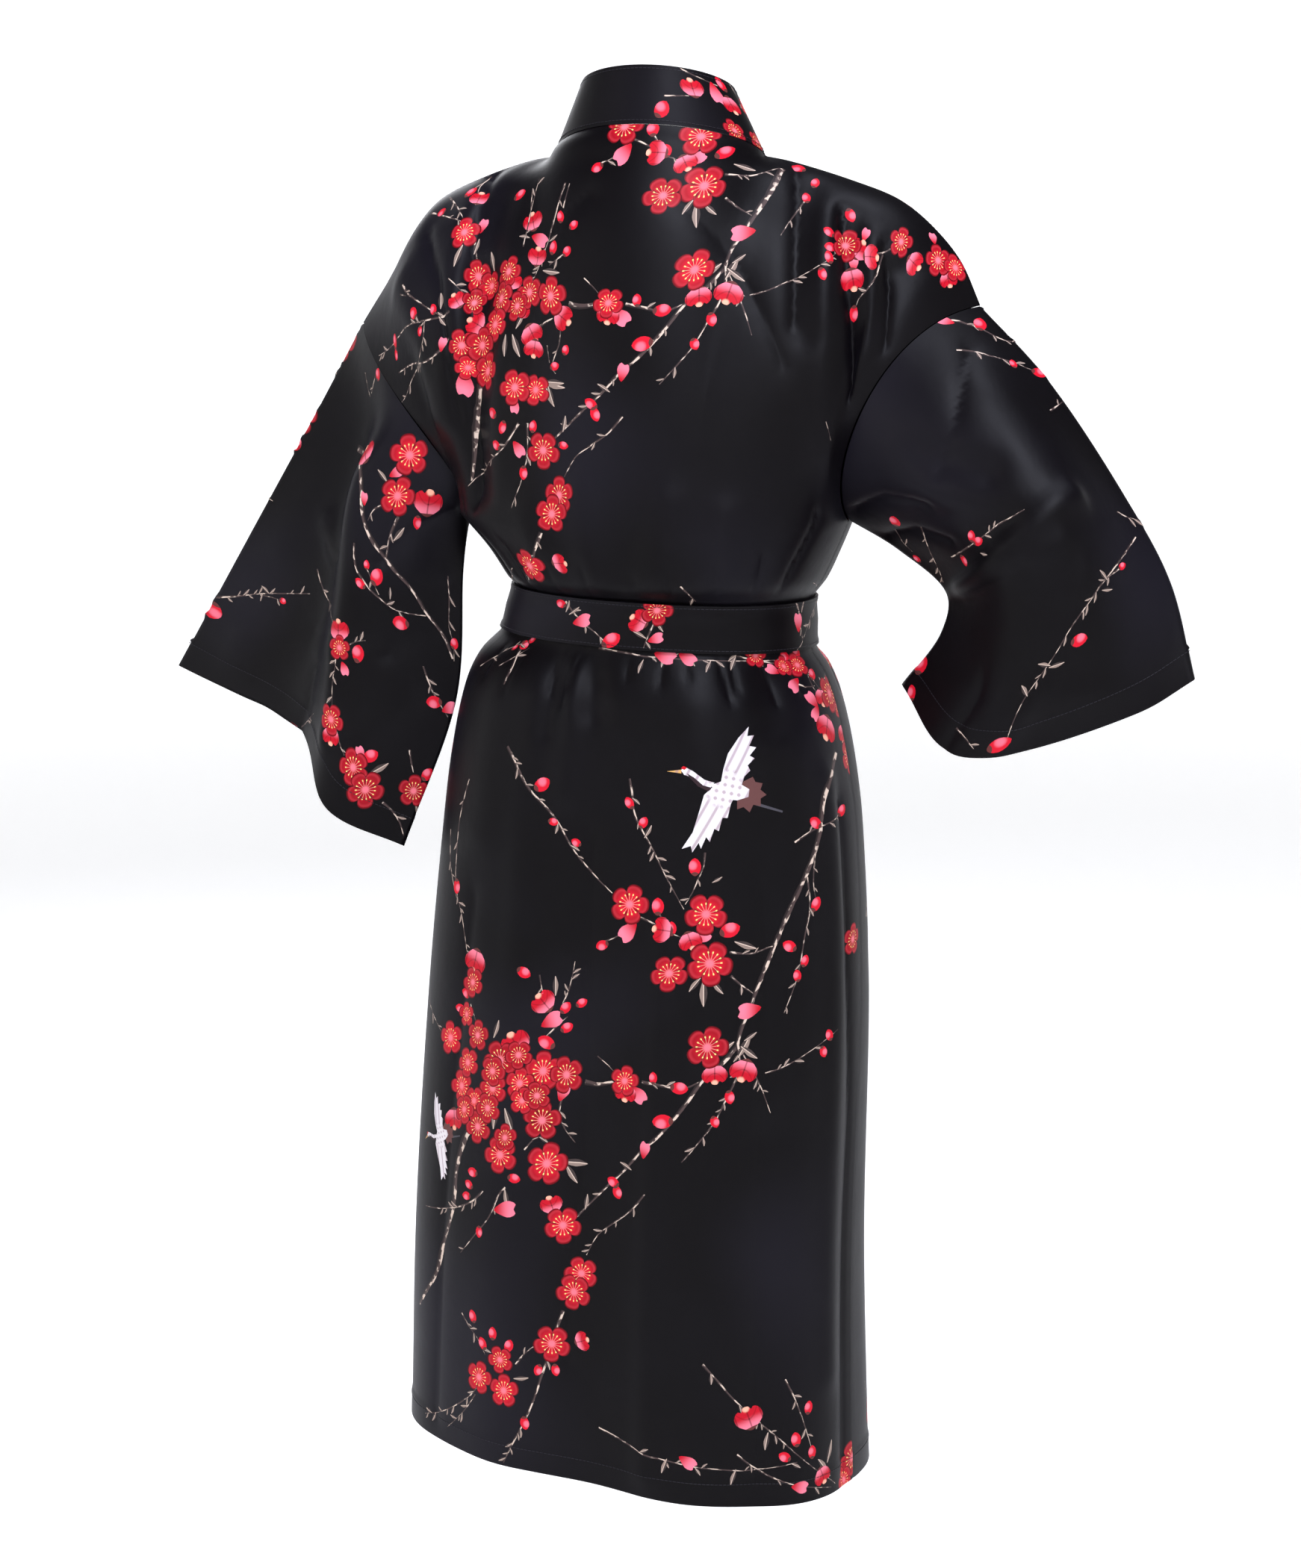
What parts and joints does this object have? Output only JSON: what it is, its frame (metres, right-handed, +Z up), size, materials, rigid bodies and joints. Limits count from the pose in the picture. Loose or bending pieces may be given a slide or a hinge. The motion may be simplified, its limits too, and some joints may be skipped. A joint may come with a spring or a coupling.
{
  "type": "happi coat",
  "caption": "Knee-length belted wrap coat of printed black cotton with wide sleeves, a stand-up neckband and a tied belt, in its worn form",
  "frame": {"origin": "middle of the neck opening, level with the seam of the neckband at the middle of the back, where the coat rests on the wearer's shoulders", "axes": "+Z up, +X to the wearer's left, +Y to the wearer's back"},
  "size_m": [0.907, 0.2704, 1.1438],
  "materials": {
    "printed_cotton": "black cotton with a soft sheen, printed with red plum blossom",
    "band_cotton": "the same cotton folded double",
    "belt_cotton": "the same cotton, folded and topstitched"
  },
  "bodies": {
    "root": {"back": "printed_cotton", "front_left": "printed_cotton", "front_right": "printed_cotton", "sleeve_left": "printed_cotton", "sleeve_right": "printed_cotton", "neckband": "band_cotton", "belt": "belt_cotton", "belt_knot": "belt_cotton", "belt_end_left": "belt_cotton", "belt_end_right": "belt_cotton"}
  },
  "joints": []
}
